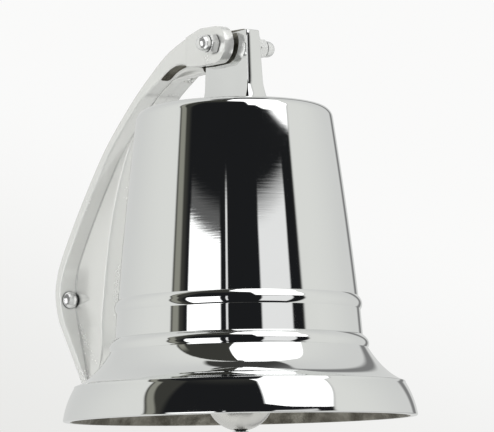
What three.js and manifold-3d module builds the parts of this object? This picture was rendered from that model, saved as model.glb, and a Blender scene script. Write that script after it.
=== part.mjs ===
// Wall-mounted ship's bell: a cast wall bracket with a forked arm, a round cast bell hung in the
// fork on a threaded stud, and a ball clapper hung inside it from an eyebolt and a ring.
// Millimetres, +Z up. The wall is the plane Y = 0 and the bell hangs on the -Y side.
// The origin is on the wall, midway between the two wall screws.

import * as THREE from 'three';
import { mergeVertices } from 'three/addons/utils/BufferGeometryUtils.js';
import Module from 'manifold-3d';

const wasm = await Module();
wasm.setup();

// ---------------------------------------------------------------- driving dimensions

const gap = 0.3;                       // clearance between neighbouring pieces

// where the bell hangs
const bellReach = 167;                 // wall to bell axis
const pivotHeight = 134;               // wall screws to pivot stud
const pivotAboveMouth = 213.5;         // pivot stud to the plane of the bell's mouth
const mouthHeight = pivotHeight - pivotAboveMouth;

// bell casting, radii and heights above the mouth
const mouthRadius = 100;
const mouthBore = 94.5;
const lipHeight = 20.1;
const lipTopRadius = 92.3;
const lipFace = { radius: 46.3, foot: 7.5, head: 30.5 };   // arc of the lip's face, degrees above level
const crownHeight = 178.1;
const crownUnderside = 173.2;
const shoulderRadius = 56.3;           // outer radius just below the rounded shoulder
const shoulderHeight = 170.6;
const shoulderRound = 7;
const shoulderLean = 7.7;              // slope of the waist where the rounding begins, degrees
const waistFootRadius = 68.2;          // outer radius just above the upper bead
const upperBead = { foot: 60.5, head: 68.2, footRadius: 69.2, bulge: 1.5 };
const lowerBead = { foot: 38.9, head: 46.2, footRadius: 72.9, headRadius: 70.2, bulge: 1.8 };
const bellSegments = 44;

// lug on the crown
const lugTop = 220;                    // above the mouth
const lugHalfDepth = 20.5;
const lugHalfWidth = 4.5;
const lugNeck = { height: 190, halfWidth: 5.4, halfDepth: 22 };

// pivot hardware, an M6 stud with domed nuts
const studRadius = 3;
const studHole = studRadius + gap;
const washerRadius = 6;
const washerThickness = 1.2;
const springWasherThickness = 1.6;
const nutAcrossFlats = 10;
const nutHexHeight = 5;
const nutHeight = 12;
const nutDomeRadius = 4.75;

// forked end of the arm
const armHalfWidth = 12.5;
const forkHalfGap = 6.5;
const earRadius = 10.5;
const crotchRadius = 28;               // the slot's rounded end, about the stud

// wall plate, flange and web of the bracket
const castThickness = 6.5;
const plateTip = -57;
const plateCorner = 22;                // half-width at the screws
const plateLift = 6;                   // height where the flange leaves the wall
const webRootHalf = 10.9;
const webCrestHalf = 3;
const webTaperReach = 93;              // distance from the wall where the web reaches its least thickness

// wall screws
const screwOffset = 15;
const screwShank = 2.5;
const screwHeadRadius = 5.2;
const screwHeadHeight = 3.8;
const screwRim = 0.7;
const screwLength = 15;
const screwHole = 2.9;
const spotFaceRadius = 5.8;

// clapper, heights above the mouth
const eyeboltRing = { radius: 6.5, wire: 2, centre: 155 };
const eyeboltShank = 3;
const eyeboltTop = 189;
const locknutHeight = 4;
const hangRing = { radius: 7.5, wire: 1.75 };
const rodEye = { radius: 5.5, wire: 2 };
const rodTopRadius = 3.2;
const rodFootRadius = 4.2;
const ballRadius = 19.4;
const ballCentre = 12.9;
const tailRadius = 4.5;
const tailFoot = -20;
const tailHole = 2.3;

// ---------------------------------------------------------------- finishes

const finish = {
  chrome: { color: 0xd9dadb, roughness: 0.06, metalness: 1 },
  zinc: { color: 0xb9bbbd, roughness: 0.3, metalness: 1 },
};

// ---------------------------------------------------------------- helpers

// A closed three.js geometry as a solid that can be joined and cut.
function solid(geometry) {
  const bare = geometry.clone();
  bare.deleteAttribute('normal');
  bare.deleteAttribute('uv');
  const merged = mergeVertices(bare, 1e-4);
  const corners = merged.index.array;
  const triangles = [];
  for (let i = 0; i < corners.length; i += 3) {
    const [a, b, c] = [corners[i], corners[i + 1], corners[i + 2]];
    if (a !== b && b !== c && c !== a) triangles.push(a, b, c);
  }
  return new wasm.Manifold(new wasm.Mesh({
    numProp: 3,
    vertProperties: Float32Array.from(merged.attributes.position.array),
    triVerts: Uint32Array.from(triangles),
  }));
}

// The solid back as a three.js geometry.
function geometryOf(body) {
  const mesh = body.getMesh();
  const geometry = new THREE.BufferGeometry();
  geometry.setAttribute('position', new THREE.BufferAttribute(Float32Array.from(mesh.vertProperties), 3));
  geometry.setIndex(Array.from(mesh.triVerts));
  geometry.computeVertexNormals();
  return geometry;
}

function part(name, body, look) {
  const mesh = new THREE.Mesh(geometryOf(body), new THREE.MeshStandardMaterial(look));
  mesh.name = name;
  return mesh;
}

const point = (x, y) => new THREE.Vector2(x, y);

// A side view (distance from the wall, height) given thickness along X, centred on X = 0.
function acrossX(shape, halfWidth, curveSegments = 8) {
  const geometry = new THREE.ExtrudeGeometry(shape, { depth: 2 * halfWidth, bevelEnabled: false, curveSegments });
  const turn = new THREE.Matrix4().makeBasis(
    new THREE.Vector3(0, -1, 0),
    new THREE.Vector3(0, 0, 1),
    new THREE.Vector3(-1, 0, 0),
  );
  return solid(geometry.applyMatrix4(turn).translate(halfWidth, 0, 0));
}

// A front view (X, height) given depth away from the wall, starting at the distance `from`.
function awayFromWall(shape, from, depth, curveSegments = 8) {
  const geometry = new THREE.ExtrudeGeometry(shape, { depth, bevelEnabled: false, curveSegments });
  return solid(geometry.rotateX(Math.PI / 2).translate(0, -from, 0));
}

// A profile of (radius, height) points turned about the Z axis.
function turned(profile, segments = 24) {
  return solid(new THREE.LatheGeometry(profile, segments).rotateX(Math.PI / 2));
}

// The same, laid so that its height runs along +X or -X.
function turnedAlongX(profile, direction = 1, segments = 24) {
  const geometry = new THREE.LatheGeometry(profile, segments);
  return solid(geometry.rotateZ(-direction * Math.PI / 2));
}

function rodAlongX(radius, from, to, segments = 24) {
  const geometry = new THREE.CylinderGeometry(radius, radius, to - from, segments);
  return solid(geometry.rotateZ(Math.PI / 2).translate((from + to) / 2, 0, 0));
}

function rodAlongY(radius, from, to, segments = 24) {
  const geometry = new THREE.CylinderGeometry(radius, radius, to - from, segments);
  return solid(geometry.translate(0, (from + to) / 2, 0));
}

function rodAlongZ(radius, from, to, segments = 20) {
  const geometry = new THREE.CylinderGeometry(radius, radius, to - from, segments);
  return solid(geometry.rotateX(Math.PI / 2).translate(0, 0, (from + to) / 2));
}

// A round wire ring whose hole runs along X (`turn` 90 degrees) or along Y (`turn` 0).
function wireRing({ radius, wire }, turn, height) {
  const geometry = new THREE.TorusGeometry(radius, wire, 8, 22);
  geometry.rotateX(Math.PI / 2).rotateZ(turn);
  return solid(geometry.translate(0, 0, height));
}

function hexagon(acrossFlats) {
  const shape = new THREE.Shape();
  const cornerRadius = acrossFlats / Math.sqrt(3);
  for (let side = 0; side < 6; side += 1) {
    const angle = (side * Math.PI) / 3;
    const [x, y] = [cornerRadius * Math.cos(angle), cornerRadius * Math.sin(angle)];
    if (side === 0) shape.moveTo(x, y);
    else shape.lineTo(x, y);
  }
  return shape;
}

// Points of an arc of a circle, angles in degrees.
function arc(x, y, radius, fromAngle, toAngle, steps) {
  const points = [];
  for (let i = 0; i <= steps; i += 1) {
    const angle = THREE.MathUtils.degToRad(fromAngle + ((toAngle - fromAngle) * i) / steps);
    points.push(point(x + radius * Math.cos(angle), y + radius * Math.sin(angle)));
  }
  return points;
}

// ---------------------------------------------------------------- wall bracket

// Back edge of the casting in side view: up the wall, then along the flange and the arm.
function backEdge() {
  const rise = new THREE.SplineCurve([
    point(0, plateLift),
    point(1.7, 18),
    point(7, 28.3),
    point(19.5, 48),
    point(36.5, 71.5),
    point(54, 92),
    point(82, 116),
    point(109.5, 133.5),
    point(130, 140.9),
    point(152, 145.5),
  ]);
  return [point(0, plateTip), ...rise.getPoints(22)];
}

// The same edge moved towards the bell by the thickness of the casting.
function frontEdge(back) {
  return back.map((here, i) => {
    const before = back[Math.max(i - 1, 0)];
    const after = back[Math.min(i + 1, back.length - 1)];
    const along = after.clone().sub(before).normalize();
    return point(here.x + along.y * castThickness, here.y - along.x * castThickness);
  });
}

function flangeOutline() {
  const outline = new THREE.Shape();
  const topHeight = 150;
  outline.moveTo(-1.5, plateTip);
  outline.lineTo(-19.3, -14);
  outline.quadraticCurveTo(-plateCorner - 1.4, -2, -plateCorner + 0.8, 14);
  outline.lineTo(-armHalfWidth, 128);
  outline.lineTo(-armHalfWidth, topHeight);
  outline.lineTo(armHalfWidth, topHeight);
  outline.lineTo(armHalfWidth, 128);
  outline.lineTo(plateCorner - 0.8, 14);
  outline.quadraticCurveTo(plateCorner + 1.4, -2, 19.3, -14);
  outline.lineTo(1.5, plateTip);
  return outline;
}

function flange() {
  const back = backEdge();
  const strip = new THREE.Shape([...back, ...frontEdge(back).reverse()]);
  return acrossX(strip, plateCorner + 2).intersect(awayFromWall(flangeOutline(), -1, bellReach));
}

// Side view of the web: its crest runs from the plate's tip up under the arm to the fork.
function webSide() {
  const crest = new THREE.SplineCurve([
    point(castThickness, plateTip + 1),
    point(22, -41),
    point(30, -25),
    point(33.6, -4),
    point(40.3, 32),
    point(50, 63),
    point(65, 91.5),
    point(88, 113.3),
    point(100, 120.6),
    point(111, 122.2),
    point(147, 122.2),
  ]);
  const back = backEdge().slice(1).filter((p) => p.x < 133).reverse();
  const inset = back.map((p) => point(p.x + 1.2, p.y - 0.6));
  return new THREE.Shape([point(1, plateTip + 1), ...crest.getPoints(28), point(147, 130), ...inset]);
}

// Plan view of the web: thick at its root on the wall, thin at its crest.
function webPlan() {
  const plan = new THREE.Shape();
  plan.moveTo(-webRootHalf, 0);
  plan.lineTo(-webCrestHalf, -webTaperReach);
  plan.lineTo(-webCrestHalf, -bellReach);
  plan.lineTo(webCrestHalf, -bellReach);
  plan.lineTo(webCrestHalf, -webTaperReach);
  plan.lineTo(webRootHalf, 0);
  return plan;
}

// Front view of the web: it narrows to a point at the plate's tip.
function webFront() {
  const front = new THREE.Shape();
  const [side, top] = [webRootHalf + 1, 150];
  front.moveTo(-1, plateTip + 1.5);
  front.lineTo(-side, 2);
  front.lineTo(-side, top);
  front.lineTo(side, top);
  front.lineTo(side, 2);
  front.lineTo(1, plateTip + 1.5);
  return front;
}

function web() {
  const planDepth = 220;
  const planGeometry = new THREE.ExtrudeGeometry(webPlan(), { depth: planDepth, bevelEnabled: false });
  const wedge = solid(planGeometry.translate(0, 0, plateTip - 5));
  return acrossX(webSide(), webRootHalf + 1)
    .intersect(wedge)
    .intersect(awayFromWall(webFront(), -1, bellReach));
}

// Solid upper arm, ending in the rounded ears about the stud.
function arm() {
  const back = backEdge().filter((p) => p.x > 82);
  const underside = new THREE.SplineCurve([
    point(153, 124),
    point(141, 125.2),
    point(129, 128),
    point(118, 126.6),
    point(106, 121.5),
    point(95, 116.6),
    point(84.5, 111.6),
  ]);
  const side = new THREE.Shape([
    ...back,
    ...arc(bellReach, pivotHeight, earRadius, 82, -90, 12),
    ...underside.getPoints(12),
  ]);
  return acrossX(side, armHalfWidth);
}

function wallBracket() {
  const crotch = rodAlongX(crotchRadius, -forkHalfGap, forkHalfGap, 48)
    .translate([0, -bellReach, pivotHeight]);
  const studBore = rodAlongX(studHole, -armHalfWidth - 1, armHalfWidth + 1)
    .translate([0, -bellReach, pivotHeight]);
  let casting = flange().add(web()).add(arm()).subtract(crotch).subtract(studBore);
  for (const side of [-1, 1]) {
    const through = rodAlongY(screwHole, -castThickness - 1, 1, 20);
    const spotFace = rodAlongY(spotFaceRadius, -castThickness - 12, -castThickness, 24);
    casting = casting.subtract(through.add(spotFace).translate([side * screwOffset, 0, 0]));
  }
  return casting;
}

function wallScrew(side) {
  const seat = castThickness + gap;
  const rise = screwHeadHeight - screwRim;
  const domeRadius = (screwHeadRadius ** 2 + rise ** 2) / (2 * rise);
  const domeStart = THREE.MathUtils.radToDeg(Math.acos(screwHeadRadius / domeRadius));
  const profile = [
    point(0, -screwLength),
    point(screwShank, -screwLength + 5),
    point(screwShank, 0),
    point(screwHeadRadius, 0),
    point(screwHeadRadius, screwRim),
    ...arc(0, screwHeadHeight - domeRadius, domeRadius, domeStart, 90, 6).slice(1),
  ];
  profile[profile.length - 1].x = 0;
  return turned(profile, 24).rotate([90, 0, 0]).translate([side * screwOffset, -seat, 0]);
}

// ---------------------------------------------------------------- pivot hardware

// Places along the stud, outwards from the lug.
const earFace = armHalfWidth;
const washerSeat = earFace + gap;
const leftNutSeat = washerSeat;
const springSeat = washerSeat + washerThickness + gap;
const rightNutSeat = springSeat + springWasherThickness + gap;
const nutBoreDepth = 9;

function pivotStud() {
  return rodAlongX(studRadius, -leftNutSeat - nutBoreDepth + 0.5, rightNutSeat + nutBoreDepth - 0.5);
}

function domedNut(seat, side) {
  const neck = nutHeight - nutDomeRadius;
  const profile = [
    point(0, 0),
    point(nutDomeRadius, 0),
    ...arc(0, neck, nutDomeRadius, 0, 90, 5),
  ];
  profile[profile.length - 1].x = 0;
  const hexGeometry = new THREE.ExtrudeGeometry(hexagon(nutAcrossFlats), { depth: nutHexHeight, bevelEnabled: false });
  const hex = solid(hexGeometry.rotateY(side * Math.PI / 2));
  const bore = rodAlongX(studHole, -1, nutBoreDepth, 16);
  const outer = turnedAlongX(profile, side, 20).add(hex);
  const boreSide = side > 0 ? bore : bore.rotate([0, 180, 0]);
  return outer.subtract(boreSide).translate([side * seat, 0, 0]);
}

function washer(from, thickness, radius = washerRadius) {
  return rodAlongX(radius, from, from + thickness, 24)
    .subtract(rodAlongX(studHole, from - 1, from + thickness + 1, 16));
}

function springWasher() {
  const ring = washer(springSeat, springWasherThickness, washerRadius - 0.3);
  const cutGeometry = new THREE.BoxGeometry(4, 4, 0.9).rotateY(0.45);
  const cut = solid(cutGeometry.translate(springSeat + springWasherThickness / 2, -washerRadius + 1.5, 0));
  return ring.subtract(cut);
}

// The lug widens downwards, so a spacer clears it at the height of its own lower edge.
function spacer(side) {
  const down = (lugTop - (pivotAboveMouth - washerRadius)) / (lugTop - lugNeck.height);
  const from = THREE.MathUtils.lerp(lugHalfWidth, lugNeck.halfWidth, down) + gap;
  const thickness = forkHalfGap - gap - from;
  return side > 0 ? washer(from, thickness) : washer(-from - thickness, thickness);
}

// ---------------------------------------------------------------- bell

// A half-round bead between two radii, swelling outwards.
function bead({ foot, head, footRadius, headRadius = waistFootRadius, bulge }) {
  const points = [];
  const steps = 4;
  for (let i = 0; i <= steps; i += 1) {
    const t = i / steps;
    const swell = bulge * Math.sin(Math.PI * t);
    points.push(point(footRadius + (headRadius - footRadius) * t + swell, foot + (head - foot) * t));
  }
  return points;
}

function bellOutside() {
  const flare = new THREE.QuadraticBezierCurve(
    point(lipTopRadius, lipHeight),
    point(81.7, 24.6),
    point(lowerBead.footRadius, lowerBead.foot),
  );
  const waist = new THREE.QuadraticBezierCurve(
    point(waistFootRadius, upperBead.head),
    point(63.4, 118),
    point(shoulderRadius, shoulderHeight),
  );
  const lean = THREE.MathUtils.degToRad(shoulderLean);
  const shoulder = arc(
    shoulderRadius - shoulderRound * Math.cos(lean),
    shoulderHeight - shoulderRound * Math.sin(lean),
    shoulderRound,
    shoulderLean,
    86,
    4,
  );
  const foot = THREE.MathUtils.degToRad(lipFace.foot);
  const face = arc(
    mouthRadius - lipFace.radius * Math.cos(foot),
    1.1 - lipFace.radius * Math.sin(foot),
    lipFace.radius,
    lipFace.foot,
    lipFace.head,
    4,
  );
  return [
    point(mouthRadius - 0.5, 0),
    point(mouthRadius + 0.1, 0.7),
    ...face,
    ...flare.getPoints(6),
    ...bead(lowerBead).slice(1),
    ...bead(upperBead),
    ...waist.getPoints(5).slice(1),
    ...shoulder.slice(1),
    point(0, crownHeight),
  ];
}

function bellInside() {
  const hollow = new THREE.SplineCurve([
    point(mouthBore, 0),
    point(82.5, 17),
    point(72, 31),
    point(65.5, 44),
    point(62.8, 64),
    point(57.6, 124),
    point(53, 160),
  ]);
  return [
    ...hollow.getPoints(10),
    ...arc(46.5, crownUnderside - 6.4, 6, 0, 90, 3),
    point(0, crownUnderside),
  ];
}

function lug() {
  const front = new THREE.Shape();
  const foot = crownHeight - 2;
  front.moveTo(-9.5, foot);
  front.quadraticCurveTo(-6, foot + 6, -lugNeck.halfWidth, lugNeck.height);
  front.lineTo(-lugHalfWidth, lugTop);
  front.lineTo(lugHalfWidth, lugTop);
  front.lineTo(lugNeck.halfWidth, lugNeck.height);
  front.quadraticCurveTo(6, foot + 6, 9.5, foot);
  const side = new THREE.Shape();
  side.moveTo(-26, foot);
  side.quadraticCurveTo(-22.4, foot + 3, -lugNeck.halfDepth, lugNeck.height);
  side.lineTo(-lugHalfDepth, lugTop);
  side.lineTo(lugHalfDepth, lugTop);
  side.lineTo(lugNeck.halfDepth, lugNeck.height);
  side.quadraticCurveTo(22.4, foot + 3, 26, foot);
  const deep = awayFromWall(front, -30, 60, 5);
  return deep.intersect(acrossX(side, 12, 5));
}

function bellShell() {
  const profile = [...bellOutside(), ...bellInside().reverse()];
  profile.push(profile[0].clone());
  const studBore = rodAlongX(studHole, -15, 15, 20).translate([0, 0, pivotAboveMouth]);
  const eyeboltBore = rodAlongZ(eyeboltShank + gap, crownUnderside - 5, eyeboltTop + 1, 16);
  return turned(profile, bellSegments).add(lug()).subtract(studBore).subtract(eyeboltBore);
}

// ---------------------------------------------------------------- clapper

// Heights of the hanging pieces, each resting in the one above it.
const ringPivot = eyeboltRing.centre - eyeboltRing.radius + eyeboltRing.wire + gap + hangRing.wire;
const ringCentre = ringPivot - hangRing.radius;
const rodPivot = ringCentre - hangRing.radius + hangRing.wire + gap + rodEye.wire;
const rodEyeCentre = rodPivot - rodEye.radius;

function clapperEyebolt() {
  const shankFoot = eyeboltRing.centre + eyeboltRing.radius;
  return wireRing(eyeboltRing, Math.PI / 2, eyeboltRing.centre)
    .add(rodAlongZ(eyeboltShank, shankFoot, eyeboltTop, 16));
}

function clapperLocknut() {
  const top = crownUnderside - gap;
  const hexGeometry = new THREE.ExtrudeGeometry(hexagon(nutAcrossFlats), { depth: locknutHeight, bevelEnabled: false });
  return solid(hexGeometry.translate(0, 0, top - locknutHeight))
    .subtract(rodAlongZ(eyeboltShank + gap, top - locknutHeight - 1, top + 1, 16));
}

function clapperRing() {
  return wireRing(hangRing, 0, ringCentre);
}

function clapperRod() {
  const ballTop = ballCentre + ballRadius;
  const eyeFoot = rodEyeCentre - rodEye.radius;
  const profile = [
    point(0, eyeFoot),
    point(rodTopRadius, eyeFoot - 0.5),
    point(rodFootRadius, ballTop + gap),
    point(studRadius, ballTop + gap),
    point(studRadius, ballCentre - ballRadius - 6),
    point(0, ballCentre - ballRadius - 6),
  ];
  return turned(profile.reverse(), 18).add(wireRing(rodEye, Math.PI / 2, rodEyeCentre));
}

function clapperBall() {
  const ball = solid(new THREE.SphereGeometry(ballRadius, 28, 16).rotateX(Math.PI / 2));
  return ball.translate([0, 0, ballCentre])
    .subtract(rodAlongZ(studHole, ballCentre - ballRadius - 1, ballCentre + ballRadius + 1, 16));
}

function clapperTail() {
  const top = ballCentre - ballRadius - gap;
  const profile = [
    point(0, tailFoot),
    point(tailRadius - 1.5, tailFoot),
    point(tailRadius, tailFoot + 1.5),
    point(tailRadius, top),
    point(0, top),
  ];
  return turned(profile, 18)
    .subtract(rodAlongZ(studHole, top - 6.5, top + 1, 14))
    .subtract(rodAlongX(tailHole, -6, 6, 12).translate([0, 0, tailFoot + 4.2]));
}

// ---------------------------------------------------------------- assembly

const bracket = new THREE.Group();
bracket.add(part('wall_bracket', wallBracket(), finish.chrome));
bracket.add(part('wall_screw_left', wallScrew(-1), finish.chrome));
bracket.add(part('wall_screw_right', wallScrew(1), finish.chrome));

const pivot = new THREE.Group();
pivot.position.set(0, -bellReach, pivotHeight);
pivot.add(part('pivot_stud', pivotStud(), finish.zinc));
pivot.add(part('dome_nut_left', domedNut(leftNutSeat, -1), finish.chrome));
pivot.add(part('dome_nut_right', domedNut(rightNutSeat, 1), finish.chrome));
pivot.add(part('washer_right', washer(washerSeat, washerThickness), finish.chrome));
pivot.add(part('spring_washer_right', springWasher(), finish.zinc));
pivot.add(part('spacer_left', spacer(-1), finish.zinc));
pivot.add(part('spacer_right', spacer(1), finish.zinc));

const bell = new THREE.Group();
bell.position.set(0, -bellReach, mouthHeight);
bell.add(part('bell_shell', bellShell(), finish.chrome));
bell.add(part('clapper_eyebolt', clapperEyebolt(), finish.zinc));
bell.add(part('clapper_locknut', clapperLocknut(), finish.zinc));
bell.add(part('clapper_ring', clapperRing(), finish.zinc));
bell.add(part('clapper_rod', clapperRod(), finish.chrome));
bell.add(part('clapper_ball', clapperBall(), finish.chrome));
bell.add(part('clapper_tail', clapperTail(), finish.chrome));

const shipsBell = new THREE.Group();
shipsBell.add(bracket, pivot, bell);

export default shipsBell;
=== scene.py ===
"""Looks for the wall-mounted ship's bell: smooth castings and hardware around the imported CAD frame.

Lengths are in millimetres until a mesh is made; `MM` turns them into metres. In side views a point is
(distance out from the wall, height), which is (-Y, Z) in the part's frame.
"""

import math

import bmesh
import bpy
from mathutils import Matrix, Vector


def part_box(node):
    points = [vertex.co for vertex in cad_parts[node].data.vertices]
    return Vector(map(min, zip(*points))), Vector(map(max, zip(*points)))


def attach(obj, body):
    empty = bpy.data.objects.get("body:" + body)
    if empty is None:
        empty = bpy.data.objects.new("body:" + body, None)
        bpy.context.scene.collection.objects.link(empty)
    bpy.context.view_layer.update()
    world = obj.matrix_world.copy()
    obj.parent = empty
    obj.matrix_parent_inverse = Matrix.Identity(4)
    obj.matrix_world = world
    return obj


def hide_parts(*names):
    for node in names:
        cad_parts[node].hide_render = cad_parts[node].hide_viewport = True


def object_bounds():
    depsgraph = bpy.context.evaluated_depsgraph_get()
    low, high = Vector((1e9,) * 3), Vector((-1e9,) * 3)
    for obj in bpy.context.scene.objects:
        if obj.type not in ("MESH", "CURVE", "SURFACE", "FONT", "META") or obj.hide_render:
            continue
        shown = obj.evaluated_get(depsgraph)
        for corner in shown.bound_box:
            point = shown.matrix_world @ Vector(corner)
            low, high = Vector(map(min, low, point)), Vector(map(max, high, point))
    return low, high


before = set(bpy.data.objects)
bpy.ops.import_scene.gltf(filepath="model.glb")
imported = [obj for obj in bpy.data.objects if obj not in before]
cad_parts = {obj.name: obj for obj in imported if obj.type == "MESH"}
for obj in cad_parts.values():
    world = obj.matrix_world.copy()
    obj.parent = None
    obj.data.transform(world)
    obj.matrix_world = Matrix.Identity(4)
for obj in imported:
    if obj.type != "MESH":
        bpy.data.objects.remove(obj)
cad_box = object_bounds()

MM = 0.001

# ---------------------------------------------------------------- places taken from the CAD frame

shell_low, shell_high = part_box("bell_shell")
stud_low, stud_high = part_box("pivot_stud")
REACH = -(shell_low.y + shell_high.y) / 2 / MM       # wall to bell axis
MOUTH = shell_low.z / MM                             # plane of the bell's mouth
PIVOT = (stud_low.z + stud_high.z) / 2 / MM          # height of the stud
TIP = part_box("wall_bracket")[0].z / MM               # lowest point of the wall plate


# ---------------------------------------------------------------- curves

def lerp(a, b, t):
    return a + (b - a) * t


def smooth(x, low, high):
    """0 below low, 1 above high, with a soft rise between."""
    t = min(1.0, max(0.0, (x - low) / (high - low)))
    return t * t * (3 - 2 * t)


def line(a, b, count, ends=True):
    """Points from a to b; without ends, b itself is left out."""
    last = count - 1 if ends else count
    return [(lerp(a[0], b[0], i / last), lerp(a[1], b[1], i / last)) for i in range(count)]


def arc(cx, cy, radius, start, end, count):
    """Points on a circle about (cx, cy), from the angle start to the angle end, in degrees."""
    points = []
    for i in range(count):
        a = math.radians(lerp(start, end, i / (count - 1)))
        points.append((cx + radius * math.cos(a), cy + radius * math.sin(a)))
    return points


def quadratic(a, b, c, count):
    """A curve from a to c that leaves and arrives along the lines through b."""
    points = []
    for i in range(count):
        t = i / (count - 1)
        points.append(tuple((1 - t) ** 2 * a[k] + 2 * t * (1 - t) * b[k] + t * t * c[k] for k in (0, 1)))
    return points


def spline(knots, per_span):
    """A Catmull-Rom curve through the knots."""
    points = []
    for i in range(len(knots) - 1):
        p0 = knots[max(i - 1, 0)]
        p1, p2 = knots[i], knots[i + 1]
        p3 = knots[min(i + 2, len(knots) - 1)]
        for j in range(per_span):
            t = j / per_span
            points.append(tuple(
                0.5 * (2 * p1[k] + (p2[k] - p0[k]) * t
                       + (2 * p0[k] - 5 * p1[k] + 4 * p2[k] - p3[k]) * t * t
                       + (3 * p1[k] - p0[k] - 3 * p2[k] + p3[k]) * t ** 3)
                for k in (0, 1)))
    points.append(knots[-1])
    return points


def even(points, count):
    """The same curve with its points evenly spaced."""
    lengths = [0.0]
    for a, b in zip(points, points[1:]):
        lengths.append(lengths[-1] + math.dist(a, b))
    result, k = [], 0
    for i in range(count):
        target = lengths[-1] * i / (count - 1)
        while k < len(points) - 2 and lengths[k + 1] < target:
            k += 1
        span = lengths[k + 1] - lengths[k] or 1.0
        t = (target - lengths[k]) / span
        result.append((lerp(points[k][0], points[k + 1][0], t), lerp(points[k][1], points[k + 1][1], t)))
    return result


# ---------------------------------------------------------------- meshes

def mesh_object(name, verts, faces, sharp=30.0, slots=None):
    """An object from vertices in millimetres; `slots` gives each face its material slot."""
    mesh = bpy.data.meshes.new(name)
    mesh.from_pydata([Vector(v) * MM for v in verts], [], faces)
    if slots:
        mesh.polygons.foreach_set("material_index", slots)
    built = bmesh.new()
    built.from_mesh(mesh)
    bmesh.ops.remove_doubles(built, verts=built.verts, dist=1e-7)
    bmesh.ops.recalc_face_normals(built, faces=built.faces)
    built.to_mesh(mesh)
    built.free()
    obj = bpy.data.objects.new(name, mesh)
    bpy.context.scene.collection.objects.link(obj)
    shade(obj, sharp)
    return obj


def shade(obj, sharp=30.0):
    obj.data.polygons.foreach_set("use_smooth", [True] * len(obj.data.polygons))
    obj.data.set_sharp_from_angle(angle=math.radians(sharp))


def settle(obj, sharp=30.0):
    """Applies the object's modifiers."""
    evaluated = obj.evaluated_get(bpy.context.evaluated_depsgraph_get())
    mesh = bpy.data.meshes.new_from_object(evaluated)
    obj.modifiers.clear()
    obj.data = mesh
    shade(obj, sharp)
    return obj


def cut(obj, *tools, sharp=30.0):
    """Cuts the tools away; the walls of a cut take the tool's material, where it has one."""
    for tool in tools:
        modifier = obj.modifiers.new("cut", "BOOLEAN")
        modifier.operation = "DIFFERENCE"
        modifier.solver = "EXACT"
        if tool.data.materials:
            modifier.material_mode = "TRANSFER"
        modifier.object = tool
    bpy.context.view_layer.update()
    settle(obj, sharp)
    for tool in tools:
        bpy.data.objects.remove(tool)
    return obj


def bevel(obj, width, angle=40.0, segments=3, sharp=30.0):
    modifier = obj.modifiers.new("bevel", "BEVEL")
    modifier.width = width * MM
    modifier.segments = segments
    modifier.limit_method = "ANGLE"
    modifier.angle_limit = math.radians(angle)
    bpy.context.view_layer.update()
    return settle(obj, sharp)


def join(name, *objects):
    """Several objects made into one."""
    built = bmesh.new()
    materials = []
    for obj in objects:
        before = len(built.faces)
        built.from_mesh(obj.data)
        built.faces.ensure_lookup_table()
        for face in built.faces[before:]:
            own = obj.data.materials[face.material_index] if obj.data.materials else None
            if own not in materials:
                materials.append(own)
            face.material_index = materials.index(own)
    mesh = bpy.data.meshes.new(name)
    built.to_mesh(mesh)
    built.free()
    for material in materials:
        if material:
            mesh.materials.append(material)
    result = bpy.data.objects.new(name, mesh)
    bpy.context.scene.collection.objects.link(result)
    for obj in objects:
        bpy.data.objects.remove(obj)
    return result


def rings(name, loops, sharp=30.0):
    """A skin over equal closed loops of points, with a cap at each end."""
    verts = [point for loop in loops for point in loop]
    size = len(loops[0])
    last = len(verts) - size
    faces = []
    for a in range(0, last, size):
        b = a + size
        for j in range(size):
            k = (j + 1) % size
            faces.append((a + j, a + k, b + k, b + j))
    faces.append(tuple(reversed(range(size))))
    faces.append(tuple(range(last, last + size)))
    return mesh_object(name, verts, faces, sharp)


def turned(name, profile, segments=96, centre=(0, 0, 0), axis="Z", direction=1, sharp=30.0, slots=None):
    """A profile of (radius, height) points turned about an axis; a radius of 0 closes the end.

    `slots` gives each span of the profile its material slot, the last one going on to the end.
    """
    verts, faces, marks = [], [], []
    rows = []
    for radius, height in profile:
        if radius < 1e-6:
            rows.append([len(verts)])
            verts.append((0, 0, height))
            continue
        rows.append(list(range(len(verts), len(verts) + segments)))
        for j in range(segments):
            a = 2 * math.pi * j / segments
            verts.append((radius * math.cos(a), radius * math.sin(a), height))
    closed = len(rows[0]) > 1 and len(rows[-1]) > 1
    pairs = list(zip(rows, rows[1:])) + ([(rows[-1], rows[0])] if closed else [])
    for index, (a, b) in enumerate(pairs):
        for j in range(segments):
            k = (j + 1) % segments
            if len(a) == 1:
                faces.append((a[0], b[k], b[j]))
            elif len(b) == 1:
                faces.append((a[j], a[k], b[0]))
            else:
                faces.append((a[j], a[k], b[k], b[j]))
            marks.append(slots[min(index, len(slots) - 1)] if slots else 0)
    turn = {"X": lambda p: (direction * p[2], p[0], direction * p[1]),
            "Y": lambda p: (p[0], direction * p[2], -direction * p[1]),
            "Z": lambda p: (p[0], p[1], direction * p[2])}[axis]
    placed = [tuple(c + d for c, d in zip(centre, turn(p))) for p in verts]
    return mesh_object(name, placed, faces, sharp, marks if slots else None)


def prism_x(name, outline, x0, x1):
    """A side view (out from the wall, height) given thickness along X."""
    return rings(name, [[(x, -w, z) for w, z in outline] for x in (x0, x1)])


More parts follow.
